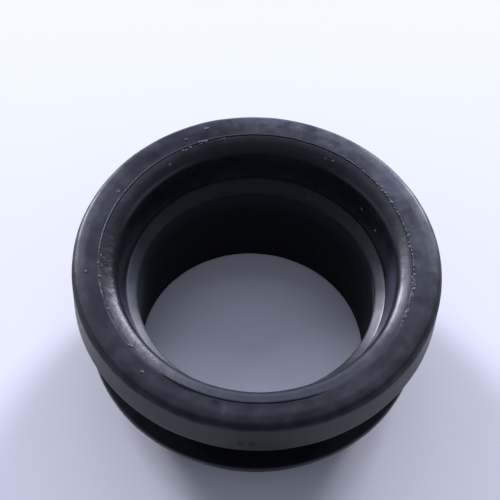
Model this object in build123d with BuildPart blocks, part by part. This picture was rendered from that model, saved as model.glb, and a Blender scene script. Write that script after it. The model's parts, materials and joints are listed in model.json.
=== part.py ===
from build123d import *
import os

os.makedirs("parts", exist_ok=True)

# Tub gasket: one moulding of black rubber, round about Z. A hose enters the throat from above,
# and the groove between the two flanges grips the edge of the hole that the gasket is pushed into.
# The origin is on the axis, in the plane of the nose's end, where the gasket stands. Millimetres.
outer_r = 36.0
height = 33.3
upper_flange_t = 9.8

lower_rim_r = 33.5
lower_rim_z = 9.7
lower_rim_t = 1.1
nose_end_r = 27.2
groove_r = 27.5
groove_drop = 0.6

crown_r = 33.4
crown_drop = 0.45
mould_line_r = 30.85
lip_slope_r = 29.3
lip_slope_drop = 0.45
lip_r = 27.5
lip_drop = 1.4

ledge_outer_r = 25.6
ledge_outer_z = 24.8
land_r = 23.6
land_top_z = 23.3
land_bottom_z = 19.8
bore_r = 23.0
bore_top_z = 17.2

shoulder_round = 1.4
crown_round = 4.0
under_edge_round = 0.9
groove_round = 1.2
rim_round = 0.4
lip_slope_round = 4.0
lip_round = 2.6
ledge_round = 0.25
nose_end_round = 0.8
bore_end_round = 0.5

# The corners of the half section, as (radius, height), from the nose's end up the outside,
# over the top and back down the throat.
nose_end = (nose_end_r, 0)
rim_bottom = (lower_rim_r, lower_rim_z)
rim_top = (lower_rim_r, lower_rim_z + lower_rim_t)
groove_bottom = (groove_r, lower_rim_z + lower_rim_t + groove_drop)
groove_top = (groove_r, height - upper_flange_t)
under_edge = (outer_r, height - upper_flange_t)
shoulder = (outer_r, height - crown_drop)
crown = (crown_r, height)
mould_line = (mould_line_r, height)
lip_slope = (lip_slope_r, height - lip_slope_drop)
lip = (lip_r, height - lip_drop)
ledge_outer = (ledge_outer_r, ledge_outer_z)
ledge_inner = (land_r, land_top_z)
land_bottom = (land_r, land_bottom_z)
bore_top = (bore_r, bore_top_z)
bore_end = (bore_r, 0)

corners = [
    nose_end,
    rim_bottom,
    rim_top,
    groove_bottom,
    groove_top,
    under_edge,
    shoulder,
    crown,
    mould_line,
    lip_slope,
    lip,
    ledge_outer,
    ledge_inner,
    land_bottom,
    bore_top,
    bore_end,
]
rounds = [
    (nose_end, nose_end_round),
    (rim_bottom, rim_round),
    (rim_top, rim_round),
    (groove_bottom, groove_round),
    (groove_top, groove_round),
    (under_edge, under_edge_round),
    (shoulder, shoulder_round),
    (crown, crown_round),
    (lip_slope, lip_slope_round),
    (lip, lip_round),
    (ledge_outer, ledge_round),
    (ledge_inner, ledge_round),
    (bore_end, bore_end_round),
]

# The whole gasket is that half section, its corners rounded, turned once about the axis.
with BuildPart() as tub_gasket:
    with BuildSketch(Plane.XZ) as half_section:
        with BuildLine():
            Polyline(*corners, close=True)
        make_face()
        for corner, radius in rounds:
            fillet(half_section.vertices().sort_by_distance(corner)[0], radius)
    revolve(axis=Axis.Z)

tub_gasket.part.label = "tub_gasket"
export_step(tub_gasket.part, "parts/tub_gasket.step")
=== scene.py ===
import bmesh
import bpy
import json
import math
import random
from mathutils import Matrix, Vector


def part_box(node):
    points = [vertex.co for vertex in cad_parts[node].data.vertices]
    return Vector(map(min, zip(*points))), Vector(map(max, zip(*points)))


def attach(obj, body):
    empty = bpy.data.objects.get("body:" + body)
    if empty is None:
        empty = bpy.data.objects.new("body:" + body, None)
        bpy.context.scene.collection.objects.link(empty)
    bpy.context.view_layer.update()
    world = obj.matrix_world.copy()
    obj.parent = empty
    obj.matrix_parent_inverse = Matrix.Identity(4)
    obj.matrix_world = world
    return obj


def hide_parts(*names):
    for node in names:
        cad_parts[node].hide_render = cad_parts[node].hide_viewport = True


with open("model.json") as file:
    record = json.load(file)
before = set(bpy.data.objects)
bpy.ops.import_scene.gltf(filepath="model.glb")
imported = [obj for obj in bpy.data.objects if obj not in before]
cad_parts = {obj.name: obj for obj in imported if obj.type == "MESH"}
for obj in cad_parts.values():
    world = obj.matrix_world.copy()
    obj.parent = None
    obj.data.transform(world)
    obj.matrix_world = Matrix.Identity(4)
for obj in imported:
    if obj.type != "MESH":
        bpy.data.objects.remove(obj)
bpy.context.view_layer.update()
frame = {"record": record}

# The gasket's body is one moulding of black rubber, cured in a steel mould whose halves part
# at the lip. Its half section is drawn corner by corner, the corners are rounded as the mould's
# are, and the section is spun once round the axis.
MM = 0.001
NODE = "tub_gasket"
top_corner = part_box(NODE)[1]
mounts = {mount["name"]: mount for mount in frame["record"]["mounts"]}

outer_r = top_corner.x / MM
height = top_corner.z / MM
bore_r = mounts["hose_bore"]["dims"]["r_mm"]
upper_flange_t = 9.8
lower_rim_r = 33.5
lower_rim_z = 9.7
lower_rim_t = 1.1
nose_end_r = 27.2
groove_r = 27.5
groove_drop = 0.6
crown_r = 33.4
crown_drop = 0.45
mould_line_r = 30.85
lip_slope_r = 29.3
lip_slope_drop = 0.45
lip_r = 27.5
lip_drop = 1.4
ledge_outer_r = 25.6
ledge_outer_z = 24.8
ledge_strip_r = 25.35
ledge_strip_z = 24.66
land_r = 23.6
land_top_z = 23.3
land_bottom_z = 19.8
bore_top_z = 17.2

# Each corner is its radius, its height and the radius of its round. The ledge has a narrow strip
# at its outer edge, a little steeper than the rest.
half_section = [
    (nose_end_r, 0, 0.8),
    (lower_rim_r, lower_rim_z, 0.4),
    (lower_rim_r, lower_rim_z + lower_rim_t, 0.4),
    (groove_r, lower_rim_z + lower_rim_t + groove_drop, 1.2),
    (groove_r, height - upper_flange_t, 1.2),
    (outer_r, height - upper_flange_t, 0.9),
    (outer_r, height - crown_drop, 1.4),
    (crown_r, height, 4.0),
    (mould_line_r, height, 0.15),
    (lip_slope_r, height - lip_slope_drop, 4.0),
    (lip_r, height - lip_drop, 2.6),
    (ledge_outer_r, ledge_outer_z, 0.15),
    (ledge_strip_r, ledge_strip_z, 0.2),
    (land_r, land_top_z, 0.25),
    (land_r, land_bottom_z, 0.3),
    (bore_r, bore_top_z, 0.3),
    (bore_r, 0, 0.5),
]
ring_facets = 440
round_facet = 0.35
longest_facet = 0.9
same_place = 1e-6


def select_only(chosen):
    """In edit mode, selects the vertices for which chosen(point) is true, and no others."""
    cage = bmesh.from_edit_mesh(bpy.context.object.data)
    for elements in (cage.verts, cage.edges, cage.faces):
        for element in elements:
            element.select = False
    for vertex in cage.verts:
        vertex.select = chosen(vertex.co)
    cage.select_flush(True)
    bmesh.update_edit_mesh(bpy.context.object.data)


def draw_section(name, corners):
    """Adds a mesh of one closed outline in the XZ plane and leaves it in edit mode."""
    points = [Vector((r * MM, 0, z * MM)) for r, z, size in corners]
    bpy.ops.object.select_all(action="DESELECT")
    bpy.ops.mesh.primitive_plane_add(size=MM, location=points[0])
    bpy.context.object.name = name
    bpy.ops.object.transform_apply(location=True, rotation=True, scale=True)
    bpy.ops.object.mode_set(mode="EDIT")
    bpy.ops.mesh.merge(type="CENTER")
    for here, there in zip(points, points[1:]):
        bpy.ops.mesh.extrude_vertices_move(TRANSFORM_OT_translate={"value": there - here})
    ends = (points[0], points[-1])
    select_only(lambda point: min((point - end).length for end in ends) < same_place)
    bpy.ops.mesh.edge_face_add()


def round_corners(corners, facet):
    """Rounds each corner of the outline that was drawn, with facets of about one length."""
    points = [Vector((r * MM, 0, z * MM)) for r, z, size in corners]
    for at, (r, z, size) in enumerate(corners):
        corner = points[at]
        turn = (corner - points[at - 1]).angle(points[(at + 1) % len(points)] - corner)
        reach = size * MM * math.tan(turn / 2)
        facets = max(2, round(size * turn / facet))
        select_only(lambda point: (point - corner).length < same_place)
        bpy.ops.mesh.bevel(
            offset=reach, segments=facets, affect="VERTICES", profile=0.5, clamp_overlap=False
        )


def split_long_edges(longest):
    """Halves the outline's edges until none is longer than a length."""
    while True:
        bpy.ops.mesh.select_all(action="DESELECT")
        cage = bmesh.from_edit_mesh(bpy.context.object.data)
        long_edges = [edge for edge in cage.edges if edge.calc_length() > longest * MM]
        if not long_edges:
            return
        for edge in long_edges:
            edge.select_set(True)
        bmesh.update_edit_mesh(bpy.context.object.data)
        bpy.ops.mesh.subdivide(number_cuts=1)


def spin_section(facets):
    """Spins the outline once round the axis, closes the seam and turns the faces outwards."""
    bpy.ops.mesh.select_all(action="SELECT")
    bpy.ops.mesh.spin(steps=facets, angle=2 * math.pi, center=(0, 0, 0), axis=(0, 0, 1))
    bpy.ops.mesh.select_all(action="SELECT")
    bpy.ops.mesh.remove_doubles(threshold=0.001 * MM)
    bpy.ops.mesh.normals_make_consistent(inside=False)
    bpy.ops.object.mode_set(mode="OBJECT")
    bpy.ops.object.shade_smooth()


def arc_weight(point, middle, reach, fade):
    """1 round an angle of the ring, fading over some degrees to 0 where the reach ends."""
    off = math.degrees(math.atan2(point.y, point.x)) - middle
    off = abs((off + 180) % 360 - 180)
    return min(1, max(0, (reach - off) / fade))


def weight_group(piece, name, weigh):
    """Gives a piece a vertex group whose weights are worked out from each vertex's place."""
    group = piece.vertex_groups.new(name=name)
    for vertex in piece.data.vertices:
        group.add([vertex.index], weigh(vertex.co), "REPLACE")
    return name


def displace(piece, size, depth, group, direction="NORMAL"):
    """Moves a piece's surface by a cloudy noise of one grain size, or evenly where it is 0."""
    push = piece.modifiers.new("unevenness", "DISPLACE")
    push.mid_level = 0
    if size:
        push.texture = bpy.data.textures.new(f"{piece.name}_unevenness", "CLOUDS")
        push.texture.noise_scale = size * MM
        push.texture_coords = "LOCAL"
        push.mid_level = 0.5
    push.direction = direction
    push.strength = depth * MM
    push.vertex_group = group
    bpy.context.view_layer.objects.active = piece
    bpy.ops.object.modifier_apply(modifier=push.name)


draw_section("gasket_body", half_section)
round_corners(half_section, round_facet)
split_long_edges(longest_facet)
spin_section(ring_facets)
body = bpy.context.object

# No moulding is quite true. The nose's end stays flat, and the lip is lumpy at the left.
true_height = 3
lip_fade = 0.6
lumpy_turn = 198


def left_lip_weight(point):
    """1 on the left part of the lip, where the rubber filled the mould badly, fading to 0."""
    radius = point.to_2d().length / MM
    inside = min(radius - lip_r + lip_fade, mould_line_r - radius)
    if point.z < ledge_outer_z * MM:
        return 0
    turned = arc_weight(point, middle=lumpy_turn, reach=32, fade=18)
    return min(1, max(0, inside) / lip_fade) * turned


standing = weight_group(body, "standing", lambda point: min(1, point.z / (true_height * MM)))
displace(body, size=9, depth=0.16, group=standing)
lumpy = weight_group(body, "left_lip", left_lip_weight)
displace(body, size=1.5, depth=0.12, group=lumpy)


class Wire:
    """A socket in a material's nodes. Arithmetic on wires adds the Math nodes that do it."""

    def __init__(self, tree, socket=None):
        self.tree = tree
        self.socket = socket

    def node(self, kind, settings=(), inputs=(), output=0):
        """Adds a node, makes its settings, fills its sockets, and gives one of its outputs."""
        added = self.tree.nodes.new(kind)
        for name, value in dict(settings).items():
            setattr(added, name, value)
        for name, value in dict(inputs).items():
            if isinstance(value, Wire):
                self.tree.links.new(value.socket, added.inputs[name])
            else:
                added.inputs[name].default_value = value
        if not added.outputs:
            return None
        return Wire(self.tree, added.outputs[output])

    def output(self, name):
        """Another output of the node that this wire leaves."""
        return Wire(self.tree, self.socket.node.outputs[name])

    def math(self, operation, *values):
        """A Math node of these values, in order."""
        return self.node("ShaderNodeMath", {"operation": operation}, dict(enumerate(values)))

    def __add__(self, other):
        return self.math("ADD", self, other)

    def __sub__(self, other):
        return self.math("SUBTRACT", self, other)

    def __rsub__(self, other):
        return self.math("SUBTRACT", other, self)

    def __mul__(self, other):
        return self.math("MULTIPLY", self, other)

    def __truediv__(self, other):
        return self.math("DIVIDE", self, other)

    def __pow__(self, other):
        return self.math("POWER", self, other)

    __radd__ = __add__
    __rmul__ = __mul__

    def between(self, start, end):
        """0 at start, 1 at end, and smooth in between."""
        span = {"Value": self, "From Min": start, "From Max": end}
        return self.node("ShaderNodeMapRange", {"interpolation_type": "SMOOTHSTEP"}, span)


# The rubber is one black compound. What varies over it is how matt it came out of the mould, how
# much pale bloom has sweated out of it, and its fine relief, and in a few places paler paint stands
# in for highlights, reflections and light. At the right the line where the mould parted runs a
# little further in.
right_line_shift = 0.45
clean_black = (0.0075, 0.0083, 0.0110, 1)
# The pale colour serves both the bloom and the painted highlights, reflections and light.
bloom_and_painted_light_black = (0.062, 0.068, 0.085, 1)
satin_roughness = 0.29
satin_shine = 0.5
matt_roughness = 0.8
matt_shine = 0.05
relief_depth = 0.1
bloom_size = 5.5
cloud_size = 3.8
mottle_size = 2.6
blob_size = 1.7
pit_size = 0.9
grain_size = 0.3
streaks_per_radian = 75
streaks_per_mm = 0.9
front_turn = 270
smudge_height = 26.9
fold_r = 31.0


def moulded_rubber(name, paleness):
    """Black rubber as it leaves the mould: satin, faintly mottled, with a little pale bloom, and
    with painted highlights and reflections in a few places.
    """
    material = bpy.data.materials.new(name)
    material.use_nodes = True
    material.node_tree.nodes.clear()
    start = Wire(material.node_tree)
    place = start.node("ShaderNodeTexCoord", output="Object")
    spot = start.node("ShaderNodeVectorMath", {"operation": "SCALE"}, {0: place, "Scale": 1 / MM})
    x = spot.node("ShaderNodeSeparateXYZ", inputs={0: spot})
    y = x.output("Y")
    z = x.output("Z")
    radius = (x * x + y * y) ** 0.5

    def noise(size, detail=3, where=spot):
        """Noise from 0 to 1 whose grain is a size in millimetres."""
        inputs = {"Vector": where, "Scale": 1 / size, "Detail": detail, "Roughness": 0.55}
        return start.node("ShaderNodeTexNoise", inputs=inputs)

    def toward(turn):
        """How far a place lies from the axis towards an angle of the ring."""
        turn = math.radians(turn)
        return x * math.cos(turn) + y * math.sin(turn)

    def patch(turn, r, width, deep):
        """1 at a place on the gasket, given by its angle and radius, and 0 a little way off."""
        across = toward(turn + 90) / width
        along = (toward(turn) - r) / deep
        return 1 - (across * across + along * along).between(0.1, 1)

    # The streaks are stretched along the radius, as the rubber flowed.
    flow = {
        "X": x / radius * streaks_per_radian,
        "Y": y / radius * streaks_per_radian,
        "Z": radius * streaks_per_mm,
    }
    streak = noise(1, where=start.node("ShaderNodeCombineXYZ", inputs=flow))
    mottle = noise(mottle_size, detail=4)
    pits = noise(pit_size)
    blobs = noise(blob_size, detail=2)
    grain = noise(grain_size, detail=2)
    cloud = noise(cloud_size).between(0.36, 0.64)

    # The faces of the top: all that is near it, the band outside the mould line, and the lip.
    line_r = radius + x.between(15, 27) * right_line_shift
    near_top = z.between(height - 2.2, height - 0.6)
    upper = near_top * line_r.between(mould_line_r, mould_line_r + 0.4)
    inside_line = 1 - line_r.between(mould_line_r - 0.8, mould_line_r)
    lip_face = radius.between(lip_r - 1, lip_r) * inside_line
    lip_face = lip_face * z.between(height - 5.2, height - 4.2)
    left_lip = lip_face * toward(lumpy_turn).between(22, 28)

    # The faces of the hole: the throat's wall, the ledge and its outer strip, the land, the bore.
    in_throat = 1 - radius.between(lip_r - 0.6, lip_r)
    above_ledge = z.between(ledge_outer_z, ledge_outer_z + 0.6)
    throat_wall = in_throat * above_ledge
    ledge = in_throat * (1 - above_ledge)
    strip = ledge * radius.between(ledge_strip_r - 0.1, ledge_strip_r + 0.1)
    in_hole = 1 - radius.between(land_r, land_r + 1)
    land = in_hole * z.between(land_bottom_z, land_bottom_z + 0.6)
    land = land * (1 - z.between(land_top_z - 0.6, land_top_z))
    in_bore = in_hole * (1 - z.between(land_top_z - 1, land_top_z))
    deep = 1 - z.between(bore_top_z - 1, land_bottom_z)

    # The faces of the outside: the upper flange's edge and the groove.
    flange_z = height - upper_flange_t
    outside = radius.between(outer_r - 0.5, outer_r - 0.1)
    in_groove = (1 - z.between(flange_z - 0.5, flange_z)) * radius.between(bore_r + 3, bore_r + 4)
    in_groove = in_groove * (1 - radius.between(lower_rim_r - 0.4, lower_rim_r - 0.2))

    # Pale bloom lies in patches on the upper faces. Towards the back and right the patches are
    # paler still: partly real bloom, partly a painted sheen where the top face catches more light.
    bloom_and_painted_sheen_side = toward(50).between(12, 30)
    clear_of_lip = 0.3 + (line_r + x * 0.06).between(mould_line_r, mould_line_r + 2.2) * 0.7
    patches = 0.1 + noise(bloom_size).between(0.43, 0.57) * 0.55
    patches = patches + mottle.between(0.35, 0.65) * 0.35
    left_patch = patch(164, 33, 4, 2.4) * 0.5
    bloom_and_painted_sheen = upper * (0.16 + bloom_and_painted_sheen_side * clear_of_lip + left_patch) * patches
    front_patch = patch(261.6, 32.4, 0.9, 1.9) + patch(274, 32.6, 2.6, 1.0) * 0.5

    # Paler paint stands in for light here: a painted reflection on the lip at the front, a painted
    # highlight on the ledge at the left, a painted reflection on the throat's wall at the right,
    # and painted light on the land at the right.
    painted_lip_reflection = lip_face * toward(front_turn).between(10, 24) * (0.1 + blobs * 0.3)
    painted_ledge_highlight = ledge * toward(240).between(2, 16) * (0.85 + blobs * 0.3)
    painted_wall_reflection = throat_wall * toward(340).between(22, 26)
    painted_land_light = land * toward(348.5).between(21, 23.5)
    shade = paleness + mottle.between(0.3, 0.8) * 0.06 + bloom_and_painted_sheen * 0.8 + front_patch * upper * 0.22
    shade = shade + painted_lip_reflection + painted_ledge_highlight + painted_wall_reflection + painted_land_light
    shade = shade + ledge * pits.between(0.58, 0.75) * 0.2
    blend = {0: shade, 6: clean_black, 7: bloom_and_painted_light_black}
    colour = start.node("ShaderNodeMix", {"data_type": "RGBA"}, blend, output=2)

    # The satin skin: the throat's wall is the smoothest, and the lip at the left is uneven.
    roughness = satin_roughness + mottle * 0.10 + left_lip * streak * 0.06 + bloom_and_painted_sheen * 0.14
    roughness = roughness + upper * 0.03 - throat_wall * 0.18 + ledge * 0.05
    roughness = roughness + strip * (0.2 - x.between(-20, 18) * 0.27)
    relief = grain * 0.12 + mottle * 0.45 + lip_face * (pits * 0.12 + blobs * 0.35)
    relief = relief + left_lip * (streak * 0.12 + pits * 0.1 + blobs * 0.55)
    relief = relief * (1 - throat_wall * 0.85)
    bump = {"Height": relief, "Strength": 1.0, "Distance": relief_depth * MM}
    normal = start.node("ShaderNodeBump", inputs=bump)
    satin = {"Base Color": colour, "Roughness": roughness, "Normal": normal}
    satin["Specular IOR Level"] = satin_shine
    matt = {"Base Color": colour, "Roughness": matt_roughness, "Normal": normal}
    matt["Specular IOR Level"] = matt_shine

    # The matt skin shows in clouds on the top, deep in the bore and the groove, on the flange's
    # edge with its two smudges, and along the fold at the front where the rubber met itself.
    smudge_z = z - smudge_height
    smudges = patch(268.0, outer_r, 0.8, 1.5) + patch(271.2, outer_r, 0.9, 1.5)
    smudge = smudges * (1 - (smudge_z * smudge_z).between(0, 2.2)) * mottle
    left_back = patch(177, lip_r + 1.5, 15, 4)
    back_patch = patch(118, mould_line_r + 0.6, 17, 2.4)
    from_fold = line_r + mottle * 0.6 - fold_r
    fold = 1 - (from_fold * from_fold).between(0.015, 0.08)
    fold = fold * toward(front_turn).between(22, 27) * x.between(17, 8)
    fold = fold + patch(247, fold_r, 2.4, 0.55) * 0.7
    fold = fold + patch(258.2, fold_r + 0.9, 1.4, 1.0) * mottle.between(0.35, 0.6) * 0.6
    matt_top = upper * (0.14 + cloud * 0.3 + back_patch * 0.32) + near_top * fold * 0.6
    matt_lip = lip_face * (1 - upper) * (left_lip * 0.25 + left_back * 0.4)
    matt_bore = in_bore * (0.62 + deep * 0.25 - painted_land_light * 0.4)
    matt_side = outside * (0.4 + smudge * 0.5) + in_groove * 0.7
    shaders = {
        0: matt_top + matt_lip + matt_bore + matt_side,
        1: start.node("ShaderNodeBsdfPrincipled", inputs=satin),
        2: start.node("ShaderNodeBsdfPrincipled", inputs=matt),
    }
    skin = start.node("ShaderNodeMixShader", inputs=shaders)
    start.node("ShaderNodeOutputMaterial", inputs={"Surface": skin})
    return material


black_rubber = moulded_rubber("black_rubber", paleness=0)
torn_rubber = moulded_rubber("torn_rubber", paleness=0.3)
body.data.materials.append(black_rubber)
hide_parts(NODE)
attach(body, "root")

# Where the mould's halves met, a film of rubber was squeezed out and torn off by hand. It left
# a thin ragged edge round the lip, fairly whole on the left and in crumbs on the right.
flash_inner = 0.34
flash_outer = 0.22
flash_rise = 0.09
flash_root = 0.10
flash_facets = 1500
flash_section = [
    (mould_line_r - flash_inner, height - flash_root, 0),
    (mould_line_r, height + flash_rise, 0),
    (mould_line_r + flash_outer, height - flash_root, 0),
]
draw_section("mould_flash", flash_section)
spin_section(flash_facets)
flash = bpy.context.object


def on_its_edge(point):
    """1 on the flash's free edge and 0 at its root."""
    return int(point.z > height * MM)


def torn(point):
    """How ragged the edge is: the right side is torn most."""
    return on_its_edge(point) * (0.18 + 0.82 * arc_weight(point, middle=5, reach=80, fade=40))


def pressed(point):
    """Where the edge was pressed inwards: at the front."""
    return on_its_edge(point) * arc_weight(point, middle=front_turn, reach=46, fade=23)


def worn(point):
    """Where the flash is worn away: in two stretches at the left, and right of the front."""
    short_gap = arc_weight(point, middle=187, reach=6, fade=2)
    long_gap = arc_weight(point, middle=219, reach=19, fade=3)
    right_gap = arc_weight(point, middle=318, reach=24, fade=10)
    return max(short_gap, long_gap, right_gap)


def thick(point):
    """Where the flash stands highest: at the left."""
    long_run = arc_weight(point, middle=168, reach=16, fade=6)
    short_run = arc_weight(point, middle=196, reach=4, fade=2)
    return on_its_edge(point) * max(long_run, short_run)


def set_in(point):
    """Where the line that the flash stands on runs further in: at the right."""
    return arc_weight(point, middle=356, reach=62, fade=31)


ragged = weight_group(flash, "torn_edge", torn)
leaning = weight_group(flash, "pressed_in", pressed)
rubbed = weight_group(flash, "worn_away", worn)
inward = weight_group(flash, "set_in", set_in)
raised = weight_group(flash, "raised", thick)
everywhere = weight_group(flash, "everywhere", lambda point: 1)

# The edge is torn in fine and in coarse waves. It is then pressed in, rubbed away or raised where
# the real one is, set in with the mould line at the right, and made a little crooked all round.
displace(flash, size=0.45, depth=0.36, group=ragged, direction="Z")
displace(flash, size=3.5, depth=0.40, group=ragged, direction="Z")
displace(flash, size=0, depth=0.26, group=leaning, direction="Y")
displace(flash, size=0, depth=0.26, group=leaning, direction="Z")
displace(flash, size=0, depth=-0.30, group=rubbed, direction="Z")
displace(flash, size=0, depth=0.10, group=raised, direction="Z")
displace(flash, size=0, depth=-right_line_shift, group=inward, direction="X")
displace(flash, size=0, depth=-0.11, group=inward, direction="Z")
displace(flash, size=9, depth=0.16, group=everywhere, direction="Z")
displace(flash, size=2.5, depth=0.12, group=everywhere, direction="X")
displace(flash, size=1.9, depth=0.12, group=everywhere, direction="Y")
flash.data.materials.append(torn_rubber)
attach(flash, "root")

# Nibs are specks of cured rubber that stayed on the faces when the gasket left the mould.
# Most sit on the top face and the lip, and a row of crumbs follows the torn side of the flash.
nib_shape = (1.4, 0.9, 0.42)
# Each nib is its angle, its radius and its size.
nibs = [
    (110.6, 33.6, 0.36),
    (119.1, 32.5, 0.36),
    (113.2, 30.6, 0.48),
    (114.6, 30.7, 0.36),
    (119.2, 30.4, 0.26),
    (130.1, 29.0, 0.30),
    (152.7, 31.9, 0.34),
    (187.7, 33.2, 0.30),
    (231.6, 32.6, 0.34),
    (60.9, 29.1, 0.28),
    (64.0, 28.9, 0.20),
    (62.6, 29.6, 0.16),
    (39.9, 26.6, 0.24),
    (28.3, 26.4, 0.20),
    (19.7, 34.6, 0.16),
    (58.6, 30.9, 0.24),
    (39.0, 30.8, 0.30),
    (35.7, 30.6, 0.26),
    (31.5, 30.4, 0.34),
    (10.7, 30.2, 0.36),
    (4.5, 30.2, 0.20),
    (358.4, 30.4, 0.32),
    (357.2, 30.2, 0.40),
    (355.0, 30.4, 0.30),
    (352.4, 30.5, 0.38),
    (349.7, 30.3, 0.34),
    (345.9, 29.9, 0.24),
    (342.3, 30.4, 0.42),
    (340.1, 30.4, 0.32),
    (180.8, 30.4, 0.34),
    (184.4, 30.8, 0.30),
    (185.4, 30.1, 0.26),
    (221.3, 30.5, 0.46),
]
# Each row of finer crumbs is its first and last angle and the number of crumbs in it.
crumb_rows = [(-24, 40, 22), (184, 240, 5), (104, 124, 5)]
crumb_inset = (-0.7, -0.1)
crumb_size = (0.14, 0.28)
clear_above = 5
luck = random.Random(5)
for first, last, count in crumb_rows:
    for crumb in range(count):
        turn = luck.uniform(first, last)
        crumb_r = mould_line_r + luck.uniform(*crumb_inset)
        nibs.append((turn, crumb_r, luck.uniform(*crumb_size)))


def add_nib(turn, radius, size):
    """Adds a low lump of rubber that lies on the body's surface at an angle and a radius."""
    turn = math.radians(turn)
    level = height + clear_above
    above = Vector((radius * math.cos(turn), radius * math.sin(turn), level)) * MM
    found, place, normal, face = body.ray_cast(above, Vector((0, 0, -1)))
    along = Vector((-math.sin(turn), math.cos(turn), 0))
    bpy.ops.object.select_all(action="DESELECT")
    bpy.ops.mesh.primitive_ico_sphere_add(subdivisions=2, radius=size * MM, location=place)
    lump = bpy.context.object
    lump.rotation_euler = Matrix((along, normal.cross(along), normal)).transposed().to_euler()
    lump.scale = nib_shape
    bpy.ops.object.transform_apply(location=True, rotation=True, scale=True)
    bpy.ops.object.shade_smooth()
    return lump


lumps = [add_nib(*nib) for nib in nibs]
bpy.ops.object.select_all(action="DESELECT")
for lump in lumps:
    lump.select_set(True)
bpy.context.view_layer.objects.active = lumps[0]
bpy.ops.object.join()
specks = bpy.context.object
specks.name = "nibs"
bpy.ops.object.transform_apply(location=True, rotation=True, scale=True)
specks_all = weight_group(specks, "everywhere", lambda point: 1)
displace(specks, size=0.3, depth=0.34, group=specks_all)
speck_rubber = moulded_rubber("speck_rubber", paleness=0.85)
specks.data.materials.append(speck_rubber)
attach(specks, "root")

# The floor is a plain pale board, matt, and wide enough to fill every view. The gasket stands on
# it, on its nose.
floor_size = 4
floor_white = (0.90, 0.90, 0.90, 1)
floor_roughness = 0.7
floor_shine = 0.1
bpy.ops.object.select_all(action="DESELECT")
bpy.ops.mesh.primitive_plane_add(size=floor_size, location=(0, 0, 0))
floor = bpy.context.object
floor.name = "floor"
pale = bpy.data.materials.new("pale_floor")
pale.use_nodes = True
pale_shader = pale.node_tree.nodes["Principled BSDF"]
pale_shader.inputs["Base Color"].default_value = floor_white
pale_shader.inputs["Roughness"].default_value = floor_roughness
pale_shader.inputs["Specular IOR Level"].default_value = floor_shine
floor.data.materials.append(pale)

# Two windows stand behind the gasket, left and right, each a low light with a weaker one above
# it. A wide light hangs higher between them, a pale panel closes the horizon, and weak fills
# stand at the sides and the front.
aim = Vector((0, 0, 20)) * MM


def soft_light(name, turn, lift, distance, width, tall, watts, colour, glossy=True):
    """A soft light aimed at the gasket. Turn is from the back towards the right, in degrees.

    Lift is its angle above the floor, and distance, width and tall are in metres.
    """
    turn, lift = math.radians(turn), math.radians(lift)
    flat = distance * math.cos(lift)
    place = aim + Vector((flat * math.sin(turn), flat * math.cos(turn), distance * math.sin(lift)))
    lamp = bpy.data.lights.new(name, "AREA")
    lamp.shape = "RECTANGLE"
    lamp.size = width
    lamp.size_y = tall
    lamp.energy = watts
    lamp.color = colour
    stand = bpy.data.objects.new(name, lamp)
    stand.location = place
    stand.visible_glossy = glossy
    stand.visible_camera = False
    stand.rotation_euler = (aim - place).to_track_quat("-Z", "Y").to_euler()
    bpy.context.scene.collection.objects.link(stand)


window_light = (0.82, 0.83, 1)
room_light = (0.66, 0.72, 1)
soft_light("left_window_low", -44, 14, 1.8, 0.38, 0.38, 25, window_light)
soft_light("right_window_low", 32, 14, 1.8, 0.38, 0.38, 27, window_light)
soft_light("left_window_high", -43, 34, 1.8, 0.38, 0.87, 11.5, window_light)
soft_light("right_window_high", 27, 34, 1.8, 0.38, 0.87, 10, window_light)
soft_light("high_softbox", -5, 57, 1.4, 1.25, 1.2, 5.2, room_light)
soft_light("horizon_panel", -8, 6, 1.8, 2.7, 0.36, 6.5, room_light)
soft_light("left_fill", -100, 13, 1.2, 1.2, 0.45, 1.4, room_light)
soft_light("right_fill", 100, 13, 1.2, 1.2, 0.45, 1.4, room_light)
soft_light("front_fill", 180, 60, 1.6, 1.6, 1.6, 1.6, window_light, glossy=False)

# The room round the gasket is dim, but looks pale where the camera sees past the floor.
room_level = 0.2
dim_room = (*room_light, 1)
pale_room = (0.86, 0.90, 1, 1)
world = bpy.data.worlds.new("studio")
world.use_nodes = True
world.node_tree.nodes.clear()
bpy.context.scene.world = world
sky = Wire(world.node_tree)
seen = sky.node("ShaderNodeLightPath", output="Is Camera Ray")
tint = {0: seen, 6: dim_room, 7: pale_room}
room_colour = sky.node("ShaderNodeMix", {"data_type": "RGBA"}, tint, output=2)
glow = {"Color": room_colour, "Strength": room_level + seen * (1 - room_level)}
sky.node("ShaderNodeOutputWorld", inputs={"Surface": sky.node("ShaderNodeBackground", inputs=glow)})

# The camera looks down on the gasket from the front, and is a little turned, as one that is
# held in the hand.
sensor_width = 36
focal_length = 123.4
camera_distance = 0.360
look_down = 57.22
roll = 3.29
camera_aim = Vector((-1.6, 17.0, 11.0)) * MM
tilt = Matrix.Rotation(math.radians(90 - look_down), 4, "X")
turned = Matrix.Rotation(math.radians(roll), 4, "Z")
back_off = Matrix.Translation((0, 0, camera_distance))
bpy.ops.object.camera_add()
camera = bpy.context.object
camera.name = "camera"
camera.data.sensor_width = sensor_width
camera.data.lens = focal_length
camera.matrix_world = Matrix.Translation(camera_aim) @ tilt @ turned @ back_off
bpy.context.scene.camera = camera
bpy.context.scene.view_settings.view_transform = "Standard"
